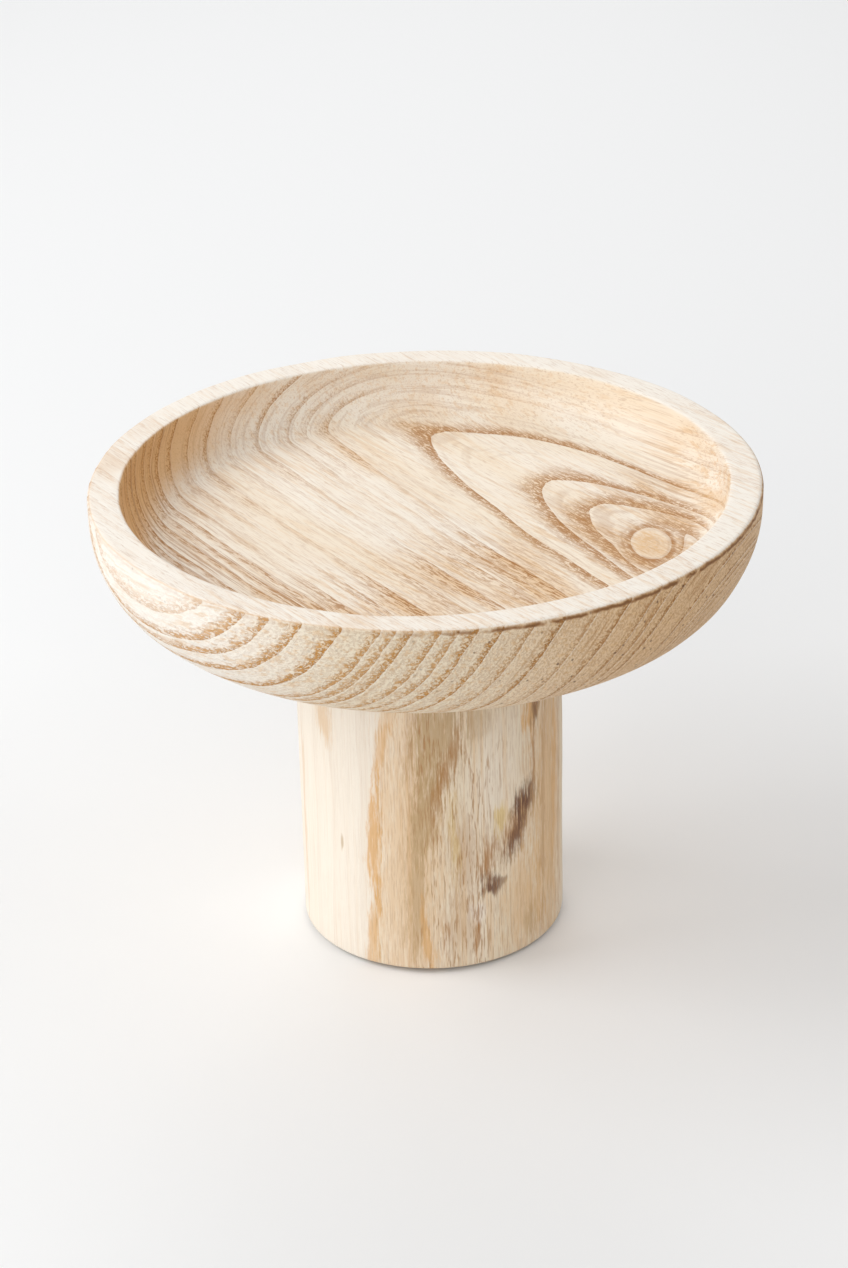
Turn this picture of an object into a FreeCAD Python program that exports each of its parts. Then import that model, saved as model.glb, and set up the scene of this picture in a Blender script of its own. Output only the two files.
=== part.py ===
import FreeCAD, Part
import math
import os

import Sketcher

# Cake stand: a turned wooden dish on a turned wooden column, pinned with fluted dowels and standing
# on felt pads. Origin at the centre of the footprint, +Z up the turning axis, millimetres.

doc = FreeCAD.newDocument("CakeStand")

# ---------------------------------------------------------------- sizes

driving = {
    "overall_height": 222.0,        # table to the top of the rim
    "dish_radius": 150.0,           # outside of the dish, a 12 inch size
    "dish_depth": 57.5,             # rim to the flat underside
    "rim_width": 15.5,              # flat ring on top of the wall
    "land_height": 10.0,            # upright part of the outer wall, above the belly
    "bowl_depth": 24.5,             # rim to the floor of the dish
    "wall_draft": 2.0,              # how far the inner wall leans in by the floor
    "cove_radius": 20.5,            # inner corner between wall and floor
    "rim_round": 2.0,               # both edges of the rim
    "pedestal_radius": 61.0,
    "pedestal_round": 1.5,          # both edges of the column
    "pin_count": 4,
    "pin_edge_distance": 28.0,      # column side to a pin's axis
    "pin_radius": 5.0,
    "pin_length": 40.0,
    "pin_chamfer": 1.0,
    "pin_clearance": 0.1,           # on the radius, room for glue
    "pin_end_gap": 1.0,             # room for glue beyond each end
    "pin_skin": 10.0,               # timber left between a pin hole and the dish floor
    "flute_count": 16,
    "flute_radius": 0.6,
    "pad_count": 4,
    "pad_radius": 10.0,
    "pad_thickness": 2.0,
    "pad_edge_gap": 6.0,            # column side to a pad's edge
}

worked_out = {
    "underside_height": "=overall_height - dish_depth",
    "floor_height": "=overall_height - bowl_depth",
    "rim_inner_radius": "=dish_radius - rim_width",
    "floor_corner_radius": "=rim_inner_radius - wall_draft",
    "belly_radius": "=dish_depth - land_height",
    "cove_fillet": "=min(cove_radius; bowl_depth - rim_round - 1)",
    "pedestal_height": "=underside_height - pad_thickness",
    "pin_hole_radius": "=pin_radius + pin_clearance",
    "dish_hole_depth": "=dish_depth - bowl_depth - pin_skin",
    "pedestal_hole_depth": "=pin_length + 2 * pin_end_gap - dish_hole_depth",
    "pin_base_height": "=underside_height - pedestal_hole_depth + pin_end_gap",
    "pin_circle_radius": "=pedestal_radius - pin_edge_distance",
    "pad_circle_radius": "=pedestal_radius - pad_edge_gap - pad_radius",
}

sheet = doc.addObject("Spreadsheet::Sheet", "Sizes")
for row, (alias, value) in enumerate({**driving, **worked_out}.items(), start=1):
    sheet.set(f"A{row}", alias)
    sheet.set(f"B{row}", str(value))
    sheet.setAlias(f"B{row}", alias)
doc.recompute()


def size(alias):
    return float(sheet.get(alias))


def bind(item, path, alias):
    """Ties a property or a named constraint to a cell of the sheet."""
    item.setExpression(path, f"Sizes.{alias}")


# ---------------------------------------------------------------- sketches and features


def new_body(label):
    body = doc.addObject("PartDesign::Body", label)
    body.Label = label
    return body


def origin_feature(body, role):
    return next(item for item in body.Origin.OriginFeatures if item.Role == role)


def new_sketch(body, name, plane, height=None):
    """A sketch on one of the body's origin planes, lifted to a height of the sheet."""
    sketch = body.newObject("Sketcher::SketchObject", f"{body.Label}_{name}")
    sketch.AttachmentSupport = (origin_feature(body, plane), "")
    sketch.MapMode = "FlatFace"
    if height:
        bind(sketch, "AttachmentOffset.Base.z", height)
    return sketch


def dimension(sketch, name, alias, kind, *geometry):
    number = sketch.addConstraint(Sketcher.Constraint(kind, *geometry, size(alias)))
    sketch.renameConstraint(number, name)
    bind(sketch, f"Constraints.{name}", alias)


def half_section(sketch, corners):
    """A closed outline beside the turning axis. Each corner has a name, a radius and a height.
    A corner without a radius lies on the axis."""
    points = [FreeCAD.Vector(size(across) if across else 0, size(up), 0) for _, across, up in corners]
    for start, end in zip(points, points[1:] + points[:1]):
        sketch.addGeometry(Part.LineSegment(start, end), False)
    for line in range(len(points)):
        following = (line + 1) % len(points)
        sketch.addConstraint(Sketcher.Constraint("Coincident", line, 2, following, 1))
    for line, (name, across, up) in enumerate(corners):
        dimension(sketch, f"{name}_up", up, "DistanceY", -1, 1, line, 1)
        if across:
            dimension(sketch, f"{name}_across", across, "DistanceX", -1, 1, line, 1)
        else:
            sketch.addConstraint(Sketcher.Constraint("PointOnObject", line, 1, -2))


def circle(sketch, radius, across=None):
    """A circle round the sketch's origin, or at a distance along its X axis."""
    centre = FreeCAD.Vector(size(across) if across else 0, 0, 0)
    curve = sketch.addGeometry(Part.Circle(centre, FreeCAD.Vector(0, 0, 1), size(radius)), False)
    dimension(sketch, "radius", radius, "Radius", curve)
    if across:
        sketch.addConstraint(Sketcher.Constraint("PointOnObject", curve, 3, -1))
        dimension(sketch, "across", across, "DistanceX", -1, 1, curve, 3)
    else:
        sketch.addConstraint(Sketcher.Constraint("Coincident", curve, 3, -1, 1))


def turned(body, name, sketch):
    feature = body.newObject("PartDesign::Revolution", f"{body.Label}_{name}")
    feature.Profile = sketch
    feature.ReferenceAxis = (sketch, ["V_Axis"])
    feature.Angle = 360
    return feature


def extruded(body, name, kind, sketch, length, upward):
    """A pad or pocket of the sketch, which a pocket cuts downward unless it is reversed."""
    feature = body.newObject(f"PartDesign::{kind}", f"{body.Label}_{name}")
    feature.Profile = sketch
    feature.Reversed = upward if kind == "Pocket" else not upward
    bind(feature, "Length", length)
    return feature


def dressed(body, name, kind, base, property_name, alias, places):
    """A fillet or chamfer on the circular edges round the axis at the given radii and heights."""
    doc.recompute()
    edges = []
    for radius, height in places:
        for number, edge in enumerate(base.Shape.Edges, start=1):
            curve = edge.Curve
            if isinstance(curve, Part.Circle) and math.isclose(curve.Radius, radius, abs_tol=1e-6):
                if math.isclose(curve.Center.z, height, abs_tol=1e-6):
                    edges.append(f"Edge{number}")
    if len(edges) != len(places):
        raise RuntimeError(f"{body.Label}: {name} found {edges} for {places}")
    feature = body.newObject(f"PartDesign::{kind}", f"{body.Label}_{name}")
    feature.Base = (base, edges)
    bind(feature, property_name, alias)
    return feature


def repeated(body, name, original, count):
    """Copies of a feature evenly round the body's Z axis, which then end the body."""
    doc.recompute()
    feature = body.newObject("PartDesign::PolarPattern", f"{body.Label}_{name}")
    feature.Originals = [original]
    feature.Axis = (origin_feature(body, "Z_Axis"), [""])
    feature.Angle = 360
    bind(feature, "Occurrences", count)
    body.Tip = feature
    return feature


def place_round(body, index, count, radius, height=None):
    """Puts a body on a circle round the turning axis, half a step on from the X axis."""
    turn = f"({index} + 0.5) * 360 deg / Sizes.{count}"
    body.setExpression("Placement.Base.x", f"Sizes.{radius} * cos({turn})")
    body.setExpression("Placement.Base.y", f"Sizes.{radius} * sin({turn})")
    if height:
        bind(body, "Placement.Base.z", height)


# ---------------------------------------------------------------- dish


def make_dish():
    body = new_body("dish")
    sketch = new_sketch(body, "section", "XZ_Plane")
    half_section(sketch, [
        ("underside_centre", None, "underside_height"),
        ("belly", "dish_radius", "underside_height"),
        ("rim_outer", "dish_radius", "overall_height"),
        ("rim_inner", "rim_inner_radius", "overall_height"),
        ("floor_corner", "floor_corner_radius", "floor_height"),
        ("floor_centre", None, "floor_height"),
    ])
    blank = turned(body, "blank", sketch)
    belly = dressed(body, "belly", "Fillet", blank, "Radius", "belly_radius",
                    [(size("dish_radius"), size("underside_height"))])
    cove = dressed(body, "cove", "Fillet", belly, "Radius", "cove_fillet",
                   [(size("floor_corner_radius"), size("floor_height"))])
    dressed(body, "rim", "Fillet", cove, "Radius", "rim_round",
            [(size("dish_radius"), size("overall_height")),
             (size("rim_inner_radius"), size("overall_height"))])
    pin_holes(body, "dish_hole_depth", upward=True)


# ---------------------------------------------------------------- pedestal


def make_pedestal():
    body = new_body("pedestal")
    sketch = new_sketch(body, "section", "XY_Plane", "pad_thickness")
    circle(sketch, "pedestal_radius")
    column = extruded(body, "column", "Pad", sketch, "pedestal_height", upward=True)
    dressed(body, "edges", "Fillet", column, "Radius", "pedestal_round",
            [(size("pedestal_radius"), size("pad_thickness")),
             (size("pedestal_radius"), size("underside_height"))])
    pin_holes(body, "pedestal_hole_depth", upward=False)


def pin_holes(body, depth, upward):
    """Blind holes from the plane where dish and pedestal meet, turned to the pins' places."""
    sketch = new_sketch(body, "pin_hole", "XY_Plane", "underside_height")
    sketch.setExpression("AttachmentOffset.Rotation.Angle", "180 deg / Sizes.pin_count")
    circle(sketch, "pin_hole_radius", "pin_circle_radius")
    hole = extruded(body, "pin_hole_cut", "Pocket", sketch, depth, upward)
    repeated(body, "pin_holes", hole, "pin_count")


# ---------------------------------------------------------------- dowel pins


def make_dowel_pin(index):
    body = new_body(f"dowel_pin_{index + 1}")
    sketch = new_sketch(body, "section", "XY_Plane")
    circle(sketch, "pin_radius")
    rod = extruded(body, "rod", "Pad", sketch, "pin_length", upward=True)
    dressed(body, "ends", "Chamfer", rod, "Size", "pin_chamfer",
            [(size("pin_radius"), 0), (size("pin_radius"), size("pin_length"))])
    groove = new_sketch(body, "flute", "XY_Plane")
    circle(groove, "flute_radius", "pin_radius")
    flute = extruded(body, "flute_cut", "Pocket", groove, "pin_length", upward=True)
    repeated(body, "flutes", flute, "flute_count")
    place_round(body, index, "pin_count", "pin_circle_radius", "pin_base_height")


# ---------------------------------------------------------------- felt pads


def make_felt_pad(index):
    body = new_body(f"felt_pad_{index + 1}")
    sketch = new_sketch(body, "section", "XY_Plane")
    circle(sketch, "pad_radius")
    extruded(body, "disc", "Pad", sketch, "pad_thickness", upward=True)
    place_round(body, index, "pad_count", "pad_circle_radius")


make_dish()
make_pedestal()
for index in range(round(size("pin_count"))):
    make_dowel_pin(index)
for index in range(round(size("pad_count"))):
    make_felt_pad(index)
doc.recompute()

# ---------------------------------------------------------------- checks, then the files

for item in doc.Objects:
    if {"Invalid", "Error"} & set(item.State):
        raise RuntimeError(f"{item.Name} failed: {item.State}")
    if item.TypeId in ("PartDesign::Pocket", "PartDesign::PolarPattern"):
        if not item.Shape.Volume < item.BaseFeature.Shape.Volume:
            raise RuntimeError(f"{item.Name} cut nothing")

bodies = [item for item in doc.Objects if item.TypeId == "PartDesign::Body"]
for body in bodies:
    if body.Shape.isNull() or not body.Shape.isValid() or len(body.Shape.Solids) != 1:
        raise RuntimeError(f"{body.Label} is not one valid solid")

os.makedirs("parts", exist_ok=True)
for body in bodies:
    body.Shape.exportStep(f"parts/{body.Label}.step")
    box = body.Shape.optimalBoundingBox(True, False)
    print(f"{body.Label}: {body.Shape.Volume / 1000:.2f} cm3, z {box.ZMin:.2f} to {box.ZMax:.2f}")
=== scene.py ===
import bpy
import math
from mathutils import Matrix, Vector


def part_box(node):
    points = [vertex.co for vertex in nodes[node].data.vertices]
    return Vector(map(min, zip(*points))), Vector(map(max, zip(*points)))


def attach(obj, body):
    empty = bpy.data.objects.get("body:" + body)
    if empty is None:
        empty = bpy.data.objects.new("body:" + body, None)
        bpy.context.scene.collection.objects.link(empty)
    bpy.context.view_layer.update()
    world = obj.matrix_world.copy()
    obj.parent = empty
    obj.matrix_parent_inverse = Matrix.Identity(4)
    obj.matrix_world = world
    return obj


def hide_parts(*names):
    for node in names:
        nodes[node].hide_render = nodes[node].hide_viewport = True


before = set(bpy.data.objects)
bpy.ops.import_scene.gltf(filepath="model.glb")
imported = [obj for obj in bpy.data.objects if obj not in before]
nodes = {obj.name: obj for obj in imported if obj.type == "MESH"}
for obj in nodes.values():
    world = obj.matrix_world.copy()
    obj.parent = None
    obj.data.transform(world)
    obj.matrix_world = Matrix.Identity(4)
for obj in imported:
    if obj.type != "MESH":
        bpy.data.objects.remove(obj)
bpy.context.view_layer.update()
mm = 0.001
refraction = 1.45                       # of bare timber and wool


# Wire holds one socket, so that shader maths reads like arithmetic.
class Wire:
    def __init__(self, sheet, socket):
        self.sheet = sheet
        self.socket = socket

    def __add__(self, other):
        return self.sheet.maths("ADD", self, other)

    def __sub__(self, other):
        return self.sheet.maths("SUBTRACT", self, other)

    def __rsub__(self, other):
        return self.sheet.maths("SUBTRACT", other, self)

    def __mul__(self, other):
        return self.sheet.maths("MULTIPLY", self, other)

    def __truediv__(self, other):
        return self.sheet.maths("DIVIDE", self, other)

    __radd__ = __add__


# Sheet makes the nodes of one material. Its look names the grain textures and the soft edges.
class Sheet:
    def __init__(self, name, look):
        self.look = look
        self.material = bpy.data.materials.new(name)
        self.material.use_nodes = True
        self.net = self.material.node_tree
        self.net.nodes.clear()
        place = self.node("ShaderNodeTexCoord", {}, {}, "Object")
        self.place = self.vectors("SCALE", place, scale=1 / mm)   # millimetres
        self.fibre, self.axis = self.place, 2                     # grain is upright if nothing else is said

    def node(self, kind, settings, inputs, output=0):
        made = self.net.nodes.new(kind)
        for key, value in settings.items():
            if key == "points":
                self.bend(made.mapping, value)
            else:
                setattr(made, key, value)
        for key, value in inputs.items():
            socket = made.inputs[key]
            if isinstance(value, Wire):
                self.net.links.new(value.socket, socket)
            else:
                socket.default_value = value
        return Wire(self, made.outputs[output]) if len(made.outputs) else None

    def bend(self, mapping, points):
        curve = mapping.curves[0]
        for number, (x, y) in enumerate(points):
            if number < 2:                                        # a new curve has its two ends
                curve.points[number].location = (x, y)
            else:
                curve.points.new(x, y)
        for point in curve.points:
            point.handle_type = "VECTOR"
        mapping.update()

    def maths(self, operation, first, second=0.0):
        return self.node("ShaderNodeMath", {"operation": operation}, {0: first, 1: second})

    def vectors(self, operation, first, second=(0, 0, 0), scale=1.0):
        output = "Value" if operation in ("DOT_PRODUCT", "LENGTH") else "Vector"
        inputs = {0: first, "Scale": scale} if operation == "SCALE" else {0: first, 1: second}
        return self.node("ShaderNodeVectorMath", {"operation": operation}, inputs, output)

    def join(self, x, y, z):
        return self.node("ShaderNodeCombineXYZ", {}, {0: x, 1: y, 2: z})

    def split(self, vector):
        made = self.node("ShaderNodeSeparateXYZ", {}, {0: vector}).socket.node
        return [Wire(self, socket) for socket in made.outputs]

    def ramp(self, value, low, high, smooth=True, start=0.0, end=1.0):
        kind = "SMOOTHSTEP" if smooth else "LINEAR"
        return self.node("ShaderNodeMapRange", {"interpolation_type": kind},
                         {0: value, 1: low, 2: high, 3: start, 4: end})

    def edge(self, name, value):
        return self.ramp(value, *self.look["edges"][name])

    def noise(self, vector, size, detail, roughness):
        return self.node("ShaderNodeTexNoise", {},
                         {"Vector": vector, "Scale": 1 / size, "Detail": detail, "Roughness": roughness})

    def grained(self, name):
        stretch, size, detail, roughness = self.look["fibres"][name]
        scale = [1, 1, 1]
        scale[self.axis] = 1 / stretch
        return self.noise(self.vectors("MULTIPLY", self.fibre, scale), size, detail, roughness)

    def swing(self, name):
        return self.grained(name) - 0.5                           # to both sides of nought

    def mix(self, factor, first, second):
        return self.node("ShaderNodeMix", {"data_type": "RGBA", "clamp_factor": True},
                         {0: factor, 6: first, 7: second}, 2)

    def finish(self, colour, roughness, bump):
        strength, depth = self.look["bump"]
        normal = self.node("ShaderNodeBump", {}, {"Strength": strength, "Distance": depth * mm, "Height": bump})
        shader = self.node("ShaderNodeBsdfPrincipled", {},
                           {"Base Color": colour, "Roughness": roughness, "Normal": normal, "IOR": refraction})
        self.node("ShaderNodeOutputMaterial", {}, {0: shader})
        return self.material


timber = {
    # bone: the rim's paler finish with painted light on it, and painted light on the lit left of the dish's outside
    "bone": (0.90, 0.845, 0.765),
    "cream": (0.88, 0.80, 0.69),
    "pale": (0.86, 0.745, 0.595),
    "grey": (0.81, 0.70, 0.535),
    # toast: a wood tone, also used as painted shade on the right of the outside and on the left inner wall
    "toast": (0.70, 0.41, 0.17),
    "tan": (0.72, 0.46, 0.22),
    "rust": (0.60, 0.275, 0.045),
    "brown": (0.38, 0.16, 0.032),
    "orange": (0.70, 0.38, 0.12),
    "olive": (0.47, 0.31, 0.145),
    "dark": (0.14, 0.065, 0.03),
    "plum": (0.12, 0.045, 0.026),
    "yellow": (0.76, 0.58, 0.28),
}


def tone(name):
    return (*timber[name], 1)


# The dish is cut from one block of growth rings, so floor, wall and outside agree.
tree = {
    "grainTurn": math.radians(-53.4),   # grain direction in plan, from +X
    "side": 71.9,                       # pith, across the grain from the turning axis
    "height": 122.5,                    # pith, above the table
    "sideBow": 2.3,                     # per 100 mm along the grain, squared
    "rise": 8.3,                        # per 100 mm along the grain
    "riseBow": 0.9,
    # where each ring starts, out from the pith, and how dark its first wood is
    "rings": [
        (50, 0.4), (58, 0.5), (64, 0.4), (69, 0.75), (72.3, 0.9), (75.2, 1.0), (82.4, 1.0),
        (95.9, 1.0), (101.5, 0.6), (107, 0.6), (118, 0.8), (130, 0.45), (142.2, 0.95), (152.6, 0.6),
        (163, 1.0), (171, 0.95), (176.8, 0.7), (182, 0.8), (190, 0.9), (194.6, 0.7), (198.7, 0.8),
        (208.4, 1.0), (217.5, 0.9), (224.5, 0.8), (229.3, 0.8), (236, 0.35), (242, 0.2), (249, 0.3),
        (255, 0.3),
    ],
    # a closed swirl in the floor: centre, radii, the ring at its line and how far one radius goes out
    "eye": (99.2, -23.0, 197.5), "eyeRadii": (9.2, 16.2, 14.0),
    "eyeRing": 69.0, "eyeStep": 3.2, "eyeLine": 1.08,
    # places where the rings bulge: along, across and up, their radii, how far
    "swells": [((-82, 86, 200), (24, 17, 25), 2.3), ((-10, 116, 205), (28, 14, 25), -2.0)],
    "wander": {"coarse": 2.0, "fine": 0.9, "hair": 0.5},
    # the porous band at the start of a ring: its width, what each place takes or adds, its frayed edge
    "band": {"width": 4.0, "outside": 0.4, "ends": 5, "core": 2.5, "fray": 4, "hair": 5, "fade": -1.5},
    # fine lines that follow the rings: run along and across the grain, then size, detail, roughness
    "lineRun": (0.018, 0.05), "lineGrain": (1.25, 2, 0.65),
    "rimShadeHeight": 219.9, "rimShadeWander": 2.0,
    # sizes, how rare they are and how far each one spreads
    "specks": [(6.0, 0.62, 1.0), (3.1, 0.84, 0.8)],
    "speckCore": 0.4, "speckChance": 0.02,
    "bump": (0.9, 0.45),                # strength, depth in mm
    "rough": 0.6, "roughPores": 0.15,
    # grain textures: stretch along the grain, size, detail, roughness
    "fibres": {
        "hair": (9, 1.5, 2, 0.5),
        "coarse": (3, 24, 2, 0.5),
        "fine": (3, 5, 2, 0.5),
        "fray": (6, 8, 2, 0.5),
        "dash": (10, 0.8, 2, 0.6),
        "dots": (3, 0.95, 2, 0.6),
        "worm": (3, 1.9, 1, 0.5),
        "strand": (60, 2.2, 3, 0.65),
        "thread": (50, 0.7, 2, 0.7),
        "broad": (7, 34, 2, 0.5),
        "patch": (4, 20, 2, 0.5),
        "outline": (2, 5, 2, 0.5),
        "under": (1, 5, 2, 0.5),
        "rimShade": (2, 7, 2, 0.5),
    },
    # where each mask is nought and where it is full; some are straight and keep other end values
    "edges": {
        "rim": (220.6, 221.4),          # height
        "underside": (197.3, 196.5),
        "outside": (137.5, 141),        # out from the turning axis
        "wall": (117, 131),
        "rimShadeEdge": (147.9, 148.5),
        "litLeftSide": (-25, -110),        # from left to right
        "leftWall": (0, -70),
        "right": (-10, 100),
        "rimShadeRight": (-30, 45),
        "pupilFade": (116, 92, True, 0.45, 1.0),
        "rimShadeFront": (20, -5),         # from front to back
        "frontEnd": (-10, 48),          # along the grain
        "backEnd": (-50, -80),
        "spine": (18, 3),               # across the grain from the pith
        "core": (92, 82),               # out from the pith
        "heart": (76, 118, False, 0.42, 1.0),
        "free": (78, 150, False, 0.22, 1.0),
        "toastWall": (112, 160),
        "rustWall": (155, 190),
        "crowdAndShade": (158, 178),
        "early": (1.0, 0.1),            # share of the porous band
        "before": (0.9, 0.2),           # left of the ring
        "swirl": (1.9, 1.15),           # radii of the swirl
        "pupil": (1.15, 0.55),
        "outline": (0.22, 0.04),
        "under": (1.3, 0.1),            # from the height of the painted shade under the rim
        "dash": (0.49, 0.56),           # values of the textures
        "dots": (0.50, 0.56),
        "worm": (0.06, 0.02),
        "lines": (0.50, 0.66),
        "broad": (0.36, 0.66),
        "patch": (0.44, 0.66),
        "strand": (0.50, 0.64),
        "thread": (0.52, 0.68),
        "outlineGaps": (0.38, 0.6),
        "rimShade": (0.28, 0.52),
    },
    # how strongly each effect shows, and what a place adds to it or takes from it
    "share": {
        "backEnd": 0.4,
        "floor": 0.22, "floorEnds": 0.78, "wallCalm": 0.7, "leftCalm": 0.4, "rimCalm": 0.8,
        "spine": 0.55, "coreDots": 0.9,
        "rimBone": 0.85, "rightToast": 0.68, "wallToast": 0.85, "wallRust": 0.42,
        "warm": 0.06, "warmEarly": 0.15, "warmEnds": 0.4,
        "strand": 0.24, "strandEnds": 0.25, "strandRim": 0.18,
        "faint": 0.7,
        "lines": 0.15, "linesCrowd": 0.45, "linesEnds": 0.15, "linesRight": 0.38, "linesRim": 0.75,
        "early": 0.28, "porous": 1.5, "pores": 0.86, "poresOutside": 0.1,
        "start": 0.65, "startOutside": 0.3, "startCore": 0.25,
        "before": 0.1, "beforeOutside": 0.3,
        "dash": 0.08, "dashWarm": 0.3,
        "dots": 0.2, "dotsRight": 0.17, "thread": 0.28, "threadOutside": 0.1,
        "pupil": 0.45, "pupilDots": 0.4, "outline": 0.6,
        "rimShade": 0.15, "rimShadeFront": 0.85, "rimShadeDark": 0.6,
        "specks": 0.2, "specksFront": 0.6,
    },
    "relief": {"thread": 0.3, "strand": 0.3, "pores": 0.12, "poresOutside": 0.6, "start": 0.05, "dots": 0.25},
}


# How deep a place lies in its ring, what is left of the ring, and how dark the ring is.
def ringDepths(sheet, radius):
    starts = [start for start, dark in tree["rings"]]
    first, reach, count = starts[0], starts[-1] - starts[0], len(starts) - 1
    order = [0, count] + list(range(1, count))                    # a curve's two ends come first

    def curve(points, value):
        return sheet.node("ShaderNodeFloatCurve", {"points": [points[number] for number in order]}, {1: value})

    shares = [(start - first) / reach for start in starts]
    numbers = [(share, number / count) for number, share in enumerate(shares)]
    ring = sheet.maths("FLOOR", curve(numbers, (radius - first) / reach) * count)
    startOf = [(number / count, share) for number, share in enumerate(shares)]
    depth = sheet.maths("MAXIMUM", radius - first - curve(startOf, ring / count) * reach, 0.0)
    left = sheet.maths("MAXIMUM", curve(startOf, (ring + 1) / count) * reach + first - radius, 0.0)
    dark = curve([(number / count, row[1]) for number, row in enumerate(tree["rings"])], ring / count)
    return depth, left, dark


def dishTimber():
    sheet = Sheet("dishTimber", tree)
    share, band, wander, relief = tree["share"], tree["band"], tree["wander"], tree["relief"]
    place, edge, grained = sheet.place, sheet.edge, sheet.grained
    x, y, z = sheet.split(place)
    along = (math.cos(tree["grainTurn"]), math.sin(tree["grainTurn"]), 0)
    across = (-along[1], along[0], 0)
    u = sheet.vectors("DOT_PRODUCT", place, along)
    v = sheet.vectors("DOT_PRODUCT", place, across)
    t = u * 0.01                                                  # hundreds of millimetres
    side = v - tree["side"] - t * t * tree["sideBow"]
    up = z - tree["height"] - t * tree["rise"] - t * t * tree["riseBow"]
    sheet.fibre, sheet.axis = sheet.join(u, side, up), 0          # runs with the grain

    # masks for the parts of the turning
    outward = sheet.maths("SQRT", x * x + y * y)
    rim = edge("rim", z)
    outside = edge("outside", outward) * (1 - rim) + edge("underside", z)
    outside = sheet.maths("MINIMUM", outside, 1.0)
    wall = edge("wall", outward) * (1 - outside) * (1 - rim)
    inner = (1 - outside) * (1 - rim)
    # this mask marks the left of the outside, which faces the key lamp: the paler tone and fainter grain there are
    # painted light
    litLeftSide = edge("litLeftSide", x)
    # this mask marks the right of the outside, turned away from the key lamp: the toast, the darker pores and the
    # extra lines and dots there are painted shade
    right = outside * edge("right", x)

    # the swirl, then the rings, which wander less near the heart
    swirl = sheet.vectors("LENGTH", sheet.vectors(
        "DIVIDE", sheet.vectors("SUBTRACT", place, tree["eye"]), tree["eyeRadii"]))
    radius = sheet.maths("SQRT", side * side + up * up)
    radius = radius + edge("swirl", swirl) * (tree["eyeRing"] + (swirl - 1) * tree["eyeStep"] - radius)
    for centre, radii, amount in tree["swells"]:
        away = sheet.vectors("LENGTH", sheet.vectors(
            "DIVIDE", sheet.vectors("SUBTRACT", sheet.join(u, v, z), centre), radii))
        radius = radius + sheet.maths("EXPONENT", away * away * -0.5) * amount
    hair = sheet.swing("hair")
    stray = sheet.swing("coarse") * wander["coarse"] + sheet.swing("fine") * wander["fine"] + hair * wander["hair"]
    radius = radius + edge("free", radius) * stray
    depth, left, dark = ringDepths(sheet, radius)

    # early wood is strongest at the two ends of the bowl, where the rings crowd, near the heart and outside; on the
    # left inner wall, which lies in shade, the extra early wood and ring lines are partly the crowded rings and
    # partly painted shade
    ends = sheet.maths("MAXIMUM", edge("frontEnd", u), edge("backEnd", u) * share["backEnd"])
    crowdAndShade = edge("crowdAndShade", radius)
    core = edge("core", radius)
    inside = sheet.maths("MAXIMUM", share["floor"] + ends * share["floorEnds"], core)
    inside = inside * (1 - wall * share["wallCalm"])
    inside = sheet.maths("MAXIMUM", inside, wall * edge("leftWall", x))
    inside = sheet.maths("MAXIMUM", inside, crowdAndShade)
    # early wood fades on the lit left of the outside: painted light
    lively = dark * sheet.maths("MAXIMUM", inside, outside * (1 - litLeftSide * share["leftCalm"]))
    lively = lively * (1 - rim * share["rimCalm"])
    heart = edge("heart", radius)
    heart = heart * (1 - edge("spine", sheet.maths("ABSOLUTE", side)) * (1 - outside) * share["spine"])
    start = sheet.maths("EXPONENT", depth * band["fade"] / heart)
    wider = sheet.maths("MAXIMUM", ends * band["ends"], core * band["core"]) * (1 - outside) * (1 - wall)
    width = heart * (band["width"] - outside * band["outside"] + wider)
    fray = (sheet.swing("fray") * band["fray"] + hair * band["hair"]) * heart
    early = edge("early", (depth + fray) / width)
    before = edge("before", left)                                 # hard pale edge of the last ring

    # pores: dashes along the grain, dots and worms across it
    dash = edge("dash", grained("dash"))
    dots = edge("dots", grained("dots"))
    worm = edge("worm", sheet.maths("ABSOLUTE", sheet.swing("worm")))
    dotted = sheet.maths("MAXIMUM", outside, core * share["coreDots"])
    pores = sheet.maths("MAXIMUM", dash * (1 - outside), sheet.maths("MAXIMUM", worm, dots) * dotted)

    # fine lines that follow the rings, and threads that follow the grain
    lineAlong, lineAcross = tree["lineRun"]
    lines = sheet.noise(sheet.join(radius, u * lineAlong, side * lineAcross), *tree["lineGrain"])
    lines = edge("lines", lines)
    strand = grained("strand")
    thread = grained("thread")

    # ground colours of the floor, the outside, the rim and the wall, with painted light and shade in some of them,
    # as said below
    colour = sheet.mix(edge("broad", grained("broad")), tone("cream"), tone("pale"))
    # the outside turns grey except on its lit left, which takes bone below: painted light
    colour = sheet.mix(outside * (1 - litLeftSide), colour, tone("grey"))
    # bone on the rim is partly its sanded, paler finish and partly painted light from above; the rim's calmer grain
    # is the same mix
    colour = sheet.mix(sheet.maths("MAXIMUM", rim * share["rimBone"], litLeftSide * outside), colour, tone("bone"))
    # toast on the right of the outside: painted shade
    colour = sheet.mix(right * share["rightToast"], colour, tone("toast"))
    # toast and rust on the wall grow with ring radius, which is largest on the shaded left wall: partly its denser
    # rings, partly painted shade
    colour = sheet.mix(wall * edge("toastWall", radius) * share["wallToast"], colour, tone("toast"))
    colour = sheet.mix(wall * edge("rustWall", radius) * share["wallRust"], colour, tone("rust"))
    warm = edge("patch", grained("patch")) * inner
    warmth = share["warm"] + early * share["warmEarly"] + ends * share["warmEnds"]
    colour = sheet.mix(warm * warmth, colour, tone("tan"))
    streak = share["strand"] + ends * share["strandEnds"] - rim * share["strandRim"]
    colour = sheet.mix(edge("strand", strand) * streak, colour, tone("tan"))

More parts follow.
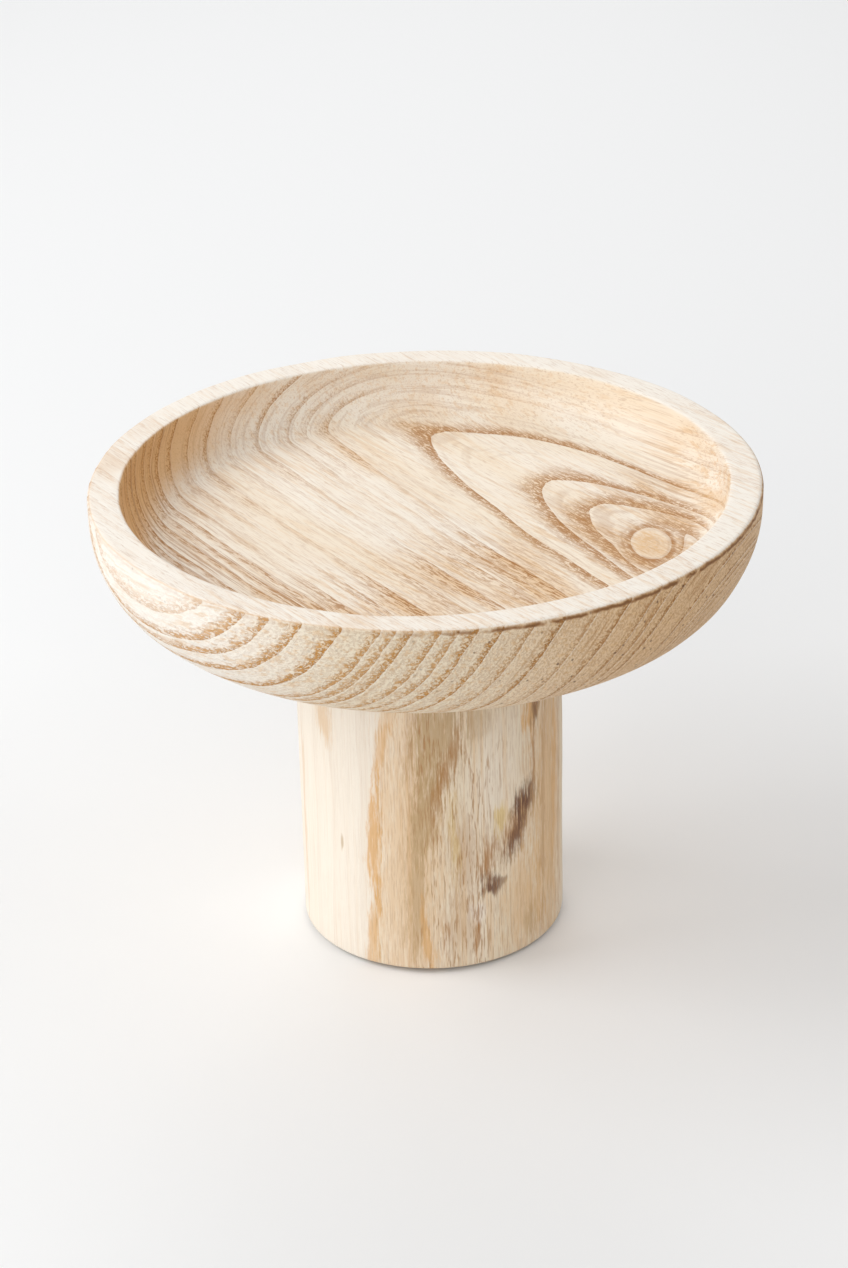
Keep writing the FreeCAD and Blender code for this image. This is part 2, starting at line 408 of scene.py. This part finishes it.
    # rings: their lines, early wood, pores, first wood and last wood
    # ring lines, dots and threads fade on the lit left of the outside: painted light washing out the grain
    faint = 1 - litLeftSide * outside * share["faint"]
    lined = (share["lines"] + crowdAndShade * inner * share["linesCrowd"] + ends * inner * share["linesEnds"]
             + right * share["linesRight"])
    colour = sheet.mix(lines * lined * faint * (1 - rim * share["linesRim"]), colour, tone("brown"))
    colour = sheet.mix(early * lively * share["early"], colour, tone("orange"))
    # pores are rust on the lit left and brown elsewhere; the brown on the right of the outside is painted shade
    porous = sheet.mix(sheet.maths("MAXIMUM", right * share["porous"], inner), tone("rust"), tone("brown"))
    colour = sheet.mix(early * lively * pores * (share["pores"] + outside * share["poresOutside"]), colour, porous)
    first = share["start"] - outside * share["startOutside"] - core * share["startCore"]
    colour = sheet.mix(start * lively * first, colour, tone("brown"))
    colour = sheet.mix(before * (share["before"] + outside * share["beforeOutside"]), colour, tone("cream"))

    # dashes, dots and threads over everything, then the swirl's middle and its line
    dashed = share["dash"] + warm * share["dashWarm"]
    colour = sheet.mix(dash * ends * inner * (1 - wall) * dashed, colour, tone("brown"))
    pricks = dots * outside * (share["dots"] + right * share["dotsRight"])
    threads = edge("thread", thread) * (share["thread"] - outside * share["threadOutside"])
    colour = sheet.mix((pricks + threads) * faint, colour, tone("brown"))
    pupil = edge("pupil", swirl) * inner * edge("pupilFade", x)
    colour = sheet.mix(pupil * (share["pupil"] + dots * share["pupilDots"]), colour, tone("tan"))
    outline = edge("outline", sheet.maths("ABSOLUTE", swirl - tree["eyeLine"])) * inner
    outline = outline * edge("outlineGaps", grained("outline"))
    colour = sheet.mix(outline * share["outline"], colour, tone("brown"))

    # painted shade in a band just under the rim's outer edge, strongest on the front right, and specks
    frontRight = edge("rimShadeRight", x) * edge("rimShadeFront", y)
    offset = z - tree["rimShadeHeight"] + sheet.swing("under") * tree["rimShadeWander"]
    lip = edge("under", sheet.maths("ABSOLUTE", offset)) * edge("rimShadeEdge", outward)
    rimShade = lip * (share["rimShade"] + frontRight * share["rimShadeFront"]) * edge("rimShade", grained("rimShade"))
    # painted shade under the rim: brown, and dark where it is strongest
    colour = sheet.mix(rimShade, colour, tone("brown"))
    colour = sheet.mix(rimShade * rimShade * share["rimShadeDark"], colour, tone("dark"))
    for size, rare, spread in tree["specks"]:
        cells = {"Vector": place, "Scale": 1 / size}
        away = sheet.node("ShaderNodeTexVoronoi", {}, cells) * size
        chance = sheet.split(sheet.node("ShaderNodeTexVoronoi", {}, cells, "Color"))[0]
        speck = sheet.ramp(away, spread, spread * tree["speckCore"])
        speck = speck * sheet.ramp(chance, rare, rare + tree["speckChance"])
        colour = sheet.mix(speck * outside * (share["specks"] + frontRight * share["specksFront"]),
                           colour, tone("dark"))

    hollow = early * lively * pores * (relief["pores"] + outside * relief["poresOutside"])
    bump = thread * relief["thread"] + strand * relief["strand"] - hollow - start * lively * relief["start"]
    bump = bump - dots * outside * relief["dots"]
    return sheet.finish(colour, tree["rough"] + pores * early * tree["roughPores"], bump)


column = {
    "radius": 61.0,
    "pith": (-18.0, 38.0, 0.0),
    "ringWidth": 7.5, "ringWander": 6, "ringFade": -5.0,
    # how far the grain shakes the strokes: round by fine and wide waves, and up
    "shakeFine": 5, "shakeWide": 6, "shakeUp": 14,
    # the cream third, painted light on the left of the column where the key lamp falls: lean of its two sides, and
    # a shift of the front one
    "litThirdLean": (-0.06, 0.05), "litThirdShift": 4,
    "frayStrand": 1.3, "frayFine": 2.2,
    "bump": (0.5, 0.25),                # strength, depth in mm
    "rough": 0.6,
    # grain textures: stretch along the grain, size, detail, roughness
    "fibres": {
        "shakeFine": (8, 2.2, 2, 0.5),
        "shakeWide": (3, 9, 2, 0.5),
        "shakeUp": (1.5, 8, 2, 0.5),
        "broad": (10, 26, 2, 0.5),
        "strand": (50, 2.0, 3, 0.65),
        "thread": (60, 0.6, 2, 0.7),
        "tick": (14, 0.8, 2, 0.65),
        "ring": (8, 18, 2, 0.5),
        "fray": (9, 1.1, 3, 0.7),
        "cluster": (3, 10, 2, 0.5),
    },
    # where each mask is nought and where it is full
    "edges": {
        "skin": (40, 58),               # out from the axis
        "litThirdFront": (-24, -30),         # round from the front
        "litThirdBack": (-140, -128),
        "clusterLeft": (-14, 0),
        "clusterRight": (40, 20),
        "stroke": (1.25, 0.3),          # share of a stroke's size
        "tick": (0.52, 0.62),           # values of the textures
        "broad": (0.35, 0.65),
        "strand": (0.46, 0.70),
        "thread": (0.5, 0.7),
        "cluster": (0.42, 0.58),
    },
    # how strongly each effect shows, and what the cream third, the skin or a cluster changes
    "share": {
        "strand": 0.45, "strandLitThird": 0.35,
        "ring": 0.45, "ringLitThird": 0.3, "ringSkin": 0.45,
        "tick": 0.2, "tickCluster": 0.45, "tickLitThird": 0.18,
        "thread": 0.24, "threadLitThird": 0.14,
    },
    "relief": {"thread": 0.4, "strand": 0.4, "tick": 0.4},
    # strokes on its skin: round from the front, height, half width, half height, lean, finish, amount
    "strokes": [
        (-10, 60, 18, 95, 0.02, "tan", 0.5),
        (3, 122, 13, 32, 0.12, "olive", 0.75),
        (-3, 84, 7, 30, 0.12, "olive", 0.7),
        (-8, 42, 6, 42, 0.02, "olive", 0.55),
        (9, 112, 4, 26, 0.22, "brown", 0.45),
        (2, 92, 3.5, 18, 0.22, "brown", 0.4),
        (-22, 120, 3, 26, 0.2, "orange", 0.55),
        (-27.5, 66, 4, 36, 0.03, "orange", 0.75),
        (-29, 18, 4, 26, 0.05, "orange", 0.55),
        (22, 130, 8, 15, 0.1, "olive", 0.5),
        (-3, 18, 3, 26, -0.12, "orange", 0.6),
        (10, 68, 2.4, 24, 0.0, "yellow", 0.7),
        (28, 96, 10, 34, 0.0, "cream", 0.4),
        (51, 126, 4.6, 15, 0.1, "orange", 0.8),
        (54, 127, 2.6, 13, 0.05, "plum", 0.9),
        (52, 100, 1.8, 22, 0.05, "brown", 0.8),
        (42, 69, 10, 16, 0.5, "brown", 0.8),
        (47.5, 80, 8.5, 11.5, 0.25, "plum", 1.0),
        (41, 64, 6, 12, 0.4, "plum", 0.75),
        (33, 76, 4, 9, 0.1, "yellow", 0.9),
        (25, 56, 3.6, 15, 0.0, "brown", 0.7),
        (26, 44.5, 5, 6.5, 0.0, "plum", 0.9),
        (32.5, 44.5, 5, 2.6, 0.0, "plum", 0.6),
        (14.4, 62, 8, 30, 0.0, "brown", 0.3),
        (20.5, 30, 5, 4.5, 0.0, "cream", 0.9),
        (12, 24, 9, 20, 0.0, "brown", 0.25),
        (19.5, 16, 2.0, 10, 0.0, "brown", 0.7),
        (46, 28, 16, 30, 0.0, "tan", 0.6),
        (50, 16, 5, 12, 0.0, "olive", 0.45),
        # a wide tan stroke on the shaded right: partly the wood's colour, partly painted warm shade
        (66, 70, 18, 90, 0.0, "tan", 0.7),
        (71, 90, 3, 60, 0.04, "orange", 0.5),
        (60, 70, 2, 90, 0.02, "brown", 0.3),
        (78, 70, 2.4, 80, 0.0, "brown", 0.25),
        (-55, 120, 7, 12, -0.15, "tan", 0.55),
        (-46.5, 60.5, 0.6, 4.5, 0.1, "olive", 0.6),
        (-79, 60, 2.0, 60, 0.0, "tan", 0.4),
        (-137, 84, 9, 80, 0.05, "tan", 0.55),
        (-146, 60, 4, 70, 0.03, "orange", 0.4),
        (110, 90, 7, 60, 0.05, "olive", 0.4),
        (126, 50, 4, 60, 0.02, "brown", 0.3),
        (150, 96, 12, 80, 0.03, "tan", 0.5),
    ],
}


def columnTimber():
    sheet = Sheet("columnTimber", column)
    share, relief = column["share"], column["relief"]
    edge, grained, swing = sheet.edge, sheet.grained, sheet.swing
    x, y, z = sheet.split(sheet.place)
    outward = sheet.maths("SQRT", x * x + y * y)
    skin = edge("skin", outward)
    around = sheet.maths("ARCTAN2", x, y * -1) * column["radius"]
    shake = swing("shakeFine") * column["shakeFine"] + swing("shakeWide") * column["shakeWide"]
    s = around + shake                                            # round the skin from the front
    h = z + swing("shakeUp") * column["shakeUp"]

    strand = grained("strand")
    thread = grained("thread")
    tick = edge("tick", grained("tick"))

    # growth rings, which show on the two end faces
    fromPith = sheet.vectors("LENGTH", sheet.vectors(
        "MULTIPLY", sheet.vectors("SUBTRACT", sheet.place, column["pith"]), (1, 1, 0)))
    phase = sheet.maths("FRACT", (fromPith + swing("ring") * column["ringWander"]) / column["ringWidth"])
    line = sheet.maths("EXPONENT", phase * column["ringFade"])

    frontLean, backLean = column["litThirdLean"]
    # painted light: the left third of the column turns cream, and its strands, rings, ticks and threads fade
    litThird = edge("litThirdFront", s + z * frontLean + column["litThirdShift"]) * edge("litThirdBack", s + z * backLean)
    colour = sheet.mix(edge("broad", grained("broad")), tone("pale"), tone("grey"))
    colour = sheet.mix(litThird, colour, tone("cream"))
    colour = sheet.mix(edge("strand", strand) * (share["strand"] - litThird * share["strandLitThird"]), colour, tone("tan"))
    ringed = line * (share["ring"] - litThird * share["ringLitThird"]) * (1.0 - skin * share["ringSkin"])
    colour = sheet.mix(ringed, colour, tone("brown"))
    frayed = (strand - 0.5) * column["frayStrand"] + swing("fray") * column["frayFine"]
    for turn, height, wide, tall, lean, finish, amount in column["strokes"]:
        away = sheet.join((s - turn - (h - height) * lean) / wide, (h - height) / tall, 0)
        mask = edge("stroke", sheet.vectors("LENGTH", away) + frayed) * skin
        colour = sheet.mix(mask * amount, colour, tone(finish))
    cluster = edge("clusterLeft", s) * edge("clusterRight", s) * edge("cluster", grained("cluster"))
    ticked = share["tick"] + cluster * share["tickCluster"] - litThird * share["tickLitThird"]
    colour = sheet.mix(tick * ticked, colour, tone("brown"))
    colour = sheet.mix(edge("thread", thread) * (share["thread"] - litThird * share["threadLitThird"]), colour, tone("brown"))
    bump = thread * relief["thread"] + strand * relief["strand"] - tick * relief["tick"]
    return sheet.finish(colour, column["rough"], bump)


dowel = {
    "dull": (0.58, 0.38, 0.2, 1), "bright": (0.7, 0.5, 0.3, 1), "fleck": (0.4, 0.22, 0.1, 1),
    "fleckShare": 0.5,
    "fibres": {"strand": (20, 0.8, 3, 0.6), "fleck": (4, 0.5, 1, 0.5)},
    "edges": {"fleck": (0.62, 0.72)},
    "bump": (0.3, 0.1),
    "rough": 0.5,
}


def dowelTimber():
    sheet = Sheet("dowelTimber", dowel)
    strand = sheet.grained("strand")
    colour = sheet.mix(strand, dowel["dull"], dowel["bright"])
    flecks = sheet.edge("fleck", sheet.grained("fleck")) * dowel["fleckShare"]
    return sheet.finish(sheet.mix(flecks, colour, dowel["fleck"]), dowel["rough"], strand)


felt = {
    "dark": (0.05, 0.042, 0.036, 1), "light": (0.13, 0.11, 0.095, 1),
    "tuftRelief": 0.5,
    "fibres": {"fluff": (1, 0.35, 3, 0.7), "tufts": (1, 1.6, 2, 0.6)},
    "bump": (0.8, 0.3),
    "rough": 0.95,
}


def feltCloth():
    sheet = Sheet("feltCloth", felt)
    fluff = sheet.grained("fluff")
    bump = fluff + sheet.grained("tufts") * felt["tuftRelief"]
    return sheet.finish(sheet.mix(fluff, felt["dark"], felt["light"]), felt["rough"], bump)


finishes = {"dish": dishTimber(), "column": columnTimber(), "dowel": dowelTimber(), "felt": feltCloth()}
print("finishes made")


# Sizes are in mm. Ease is how much each form starts inside its size, because the waver adds to it.
# The waver is a hand-finished unevenness: how far, how wide, and the heights where it fades in and out.
dish = {
    "segments": 320,
    "ease": 0.45,
    "belly": 47.5,
    "rimWidth": 15.5, "rimRound": 2.0,
    "bowl": 24.5, "draft": 2.0, "cove": 20.5,
    "underHub": 6.0, "floorHub": 2.5,   # radius of the last loop at each middle
    "steps": {"under": 14, "belly": 30, "side": 6, "rimRound": 5, "rim": 8, "wall": 3, "cove": 16, "floor": 36},
    "waver": 1.1, "waverSize": 48.0, "fadeIn": (166, 184), "fadeOut": (400, 401),
}
post = {
    "segments": 224,
    "ease": 0.25,
    "round": 1.5,
    "hub": 5.0,
    "steps": {"end": 8, "round": 4, "side": 40},
    "waver": 0.6, "waverSize": 40.0, "fadeIn": (2.0, 6), "fadeOut": (158, 163),
}
bore = {"radius": 5.1, "gap": 1.0, "segments": 32}
turning = {"weld": 0.000001, "smooth": math.radians(35), "cloudDepth": 1}


def arc(r, z, radius, start, end, steps):
    turns = [math.radians(start + (end - start) * k / steps) for k in range(steps + 1)]
    return [(r + radius * math.cos(turn), z + radius * math.sin(turn)) for turn in turns]


def run(start, end, steps):
    return [(start[0] + (end[0] - start[0]) * k / steps, start[1] + (end[1] - start[1]) * k / steps)
            for k in range(1, steps)]


def dishOutline():
    low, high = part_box("dish")
    steps, underHub, floorHub = dish["steps"], dish["underHub"], dish["floorHub"]
    outer, top, under = high.x / mm - dish["ease"], high.z / mm - dish["ease"], low.z / mm
    edge, belly, bend = dish["rimRound"], dish["belly"], dish["cove"]
    lip = high.x / mm - dish["rimWidth"]
    floor = high.z / mm - dish["bowl"]
    slope = math.atan(dish["draft"] / dish["bowl"])
    hub = lip - dish["draft"] * (dish["bowl"] - bend) / dish["bowl"] - bend / math.cos(slope)
    shoulder = outer - belly
    outline = [(underHub, under)] + run((underHub, under), (shoulder, under), steps["under"])
    outline += arc(shoulder, under + belly, belly, -90, 0, steps["belly"])
    outline += run((outer, under + belly), (outer, top - edge), steps["side"])
    outline += arc(outer - edge, top - edge, edge, 0, 90, steps["rimRound"])
    outline += run((outer - edge, top), (lip + edge, top), steps["rim"])
    outline += arc(lip + edge, top - edge, edge, 90, 180, steps["rimRound"])
    outline += run((lip, top - edge), (hub + bend, floor + bend), steps["wall"])
    outline += arc(hub, floor + bend, bend, -math.degrees(slope), -90, steps["cove"])
    outline += run((hub, floor), (floorHub, floor), steps["floor"]) + [(floorHub, floor)]
    return outline


def postOutline():
    low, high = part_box("pedestal")
    steps, hub, edge = post["steps"], post["hub"], post["round"]
    radius, foot, top = high.x / mm - post["ease"], low.z / mm, high.z / mm
    outline = [(hub, foot)] + run((hub, foot), (radius - edge, foot), steps["end"])
    outline += arc(radius - edge, foot + edge, edge, -90, 0, steps["round"])
    outline += run((radius, foot + edge), (radius, top - edge), steps["side"])
    outline += arc(radius - edge, top - edge, edge, 0, 90, steps["round"])
    outline += run((radius - edge, top), (hub, top), steps["end"]) + [(hub, top)]
    return outline


# A filled circle at the outline's first point, extruded and resized from each point to the next.
def turned(name, outline, segments):
    bpy.ops.object.select_all(action="DESELECT")
    radius, height = outline[0]
    bpy.ops.mesh.primitive_circle_add(vertices=segments, radius=radius * mm, fill_type="TRIFAN",
                                      location=(0, 0, height * mm))
    piece = bpy.context.object
    piece.name = name
    bpy.ops.object.transform_apply(location=True, rotation=True, scale=True)
    bpy.ops.object.mode_set(mode="EDIT")
    bpy.ops.mesh.select_mode(type="EDGE")
    bpy.ops.mesh.select_all(action="DESELECT")
    bpy.ops.mesh.select_non_manifold()
    for (r0, z0), (r1, z1) in zip(outline, outline[1:]):
        bpy.ops.mesh.extrude_region_move(TRANSFORM_OT_translate={"value": (0, 0, (z1 - z0) * mm)})
        bpy.ops.transform.resize(value=(r1 / r0, r1 / r0, 1), center_override=(0, 0, 0))
    bpy.ops.mesh.merge(type="COLLAPSE")
    bpy.ops.mesh.select_all(action="SELECT")
    bpy.ops.mesh.remove_doubles(threshold=turning["weld"])
    bpy.ops.mesh.normals_make_consistent(inside=False)
    bpy.ops.object.mode_set(mode="OBJECT")
    return piece


def fade(value, start, end):
    return min(max((value - start) / (end - start), 0), 1)


def waver(piece, sizes):
    cloud = bpy.data.textures.new(piece.name + "Waver", "CLOUDS")
    cloud.noise_scale = sizes["waverSize"] * mm
    cloud.noise_depth = turning["cloudDepth"]
    worked = piece.vertex_groups.new(name="worked")               # joint faces stay true
    for point in piece.data.vertices:
        height = point.co.z / mm
        outStart, outEnd = sizes["fadeOut"]
        worked.add([point.index], fade(height, *sizes["fadeIn"]) * fade(height, outEnd, outStart), "REPLACE")
    change = piece.modifiers.new("waver", "DISPLACE")
    change.texture = cloud
    change.texture_coords = "LOCAL"
    change.strength = sizes["waver"] * mm
    change.vertex_group = "worked"
    bpy.context.view_layer.objects.active = piece
    bpy.ops.object.modifier_apply(modifier="waver")
    piece.vertex_groups.clear()


# Blind holes round every pin, which is half in the dish and half in the column.
def boreHoles(piece):
    cutters = []
    for name in sorted(nodes):
        if not name.startswith("dowel"):
            continue
        low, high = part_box(name)
        bpy.ops.object.select_all(action="DESELECT")
        bpy.ops.mesh.primitive_cylinder_add(vertices=bore["segments"], radius=bore["radius"] * mm,
                                            depth=high.z - low.z + 2 * bore["gap"] * mm,
                                            location=(low + high) / 2)
        cutters.append(bpy.context.object)
    for cutter in cutters:
        cutter.select_set(True)
    bpy.ops.object.join()
    drill = bpy.context.object
    change = piece.modifiers.new("bore", "BOOLEAN")
    change.operation = "DIFFERENCE"
    change.solver = "EXACT"
    change.object = drill
    bpy.context.view_layer.objects.active = piece
    bpy.ops.object.modifier_apply(modifier="bore")
    bpy.data.objects.remove(drill)


def finishPiece(piece, finish, node):
    bpy.ops.object.select_all(action="DESELECT")
    piece.select_set(True)
    bpy.context.view_layer.objects.active = piece
    bpy.ops.object.shade_smooth_by_angle(angle=turning["smooth"])
    piece.data.materials.clear()
    piece.data.materials.append(finishes[finish])
    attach(piece, "root")
    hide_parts(node)
    print(piece.name, "made,", len(piece.data.polygons), "faces")


turnedDish = turned("turnedDish", dishOutline(), dish["segments"])
waver(turnedDish, dish)
boreHoles(turnedDish)
finishPiece(turnedDish, "dish", "dish")

turnedPost = turned("turnedPost", postOutline(), post["segments"])
waver(turnedPost, post)
boreHoles(turnedPost)
finishPiece(turnedPost, "column", "pedestal")

for name, node in nodes.items():
    if name.startswith(("dowel", "felt")):
        node.data.materials.clear()
        node.data.materials.append(finishes["dowel" if name.startswith("dowel") else "felt"])
print("pins and pads finished")


studio = {
    "aim": (-1.83, 0.0, 143.5),         # mm
    "distance": 1500.0,
    "pitch": math.radians(27.13),
    "roll": math.radians(1.33),
    "lens": 93.75, "sensor": 36, "farthest": 50,
    "ground": (0.86, 0.863, 0.865, 1),
    "groundSize": 12, "groundRough": 0.9, "groundGloss": 0.1,
    "world": (0.99, 0.995, 1.0, 1),
    "worldStrength": 0.375,
    "lampSize": 1.5,                    # metres, as the next three
    "lampDistance": 2.4,
    "lampCentre": (0, 0, 0.1), "lampAim": (0, 0, 0.12),
    # name, turn from +X, lift, watts
    "lamps": [("leftWindow", 180, 38, 29.5), ("backPanel", 90, 38, 14.6), ("rightFill", 0, 38, 10.5),
              ("frontFill", 262, 38, 9.5), ("frontLow", 234, 17, 11.0), ("leftLow", 176, 24, 3.5)],
}


def makeCamera():
    pose = (Matrix.Rotation(math.pi / 2 - studio["pitch"], 4, "X")
            @ Matrix.Rotation(-studio["roll"], 4, "Z"))
    back = pose.to_3x3() @ Vector((0, 0, studio["distance"] * mm))
    data = bpy.data.cameras.new("camera")
    data.lens = studio["lens"]
    data.sensor_width = studio["sensor"]
    data.clip_end = studio["farthest"]
    camera = bpy.data.objects.new("camera", data)
    bpy.context.scene.collection.objects.link(camera)
    camera.matrix_world = Matrix.Translation(Vector(studio["aim"]) * mm + back) @ pose
    bpy.context.scene.camera = camera


def makeFloor():
    bpy.ops.object.select_all(action="DESELECT")
    bpy.ops.mesh.primitive_plane_add(size=studio["groundSize"], location=(0, 0, 0))
    floor = bpy.context.object
    floor.name = "studioFloor"
    material = bpy.data.materials.new("studioFloor")
    material.use_nodes = True
    shader = material.node_tree.nodes["Principled BSDF"]
    shader.inputs["Base Color"].default_value = studio["ground"]
    shader.inputs["Roughness"].default_value = studio["groundRough"]
    shader.inputs["Specular IOR Level"].default_value = studio["groundGloss"]
    floor.data.materials.append(material)


def makeLamp(name, turn, lift, watts):
    data = bpy.data.lights.new(name, "AREA")
    data.shape = "SQUARE"
    data.size = studio["lampSize"]
    data.energy = watts
    lamp = bpy.data.objects.new(name, data)
    bpy.context.scene.collection.objects.link(lamp)
    outward = Vector((math.cos(turn) * math.cos(lift), math.sin(turn) * math.cos(lift), math.sin(lift)))
    lamp.location = outward * studio["lampDistance"] + Vector(studio["lampCentre"])
    lamp.rotation_euler = (Vector(studio["lampAim"]) - lamp.location).to_track_quat("-Z", "Y").to_euler()


def makeWorld():
    world = bpy.data.worlds.new("studio")
    world.use_nodes = True
    background = world.node_tree.nodes["Background"]
    background.inputs["Color"].default_value = studio["world"]
    background.inputs["Strength"].default_value = studio["worldStrength"]
    bpy.context.scene.world = world
    bpy.context.scene.view_settings.view_transform = "Standard"


makeCamera()
makeFloor()
makeWorld()
for name, turn, lift, watts in studio["lamps"]:
    makeLamp(name, math.radians(turn), math.radians(lift), watts)
print("studio made")
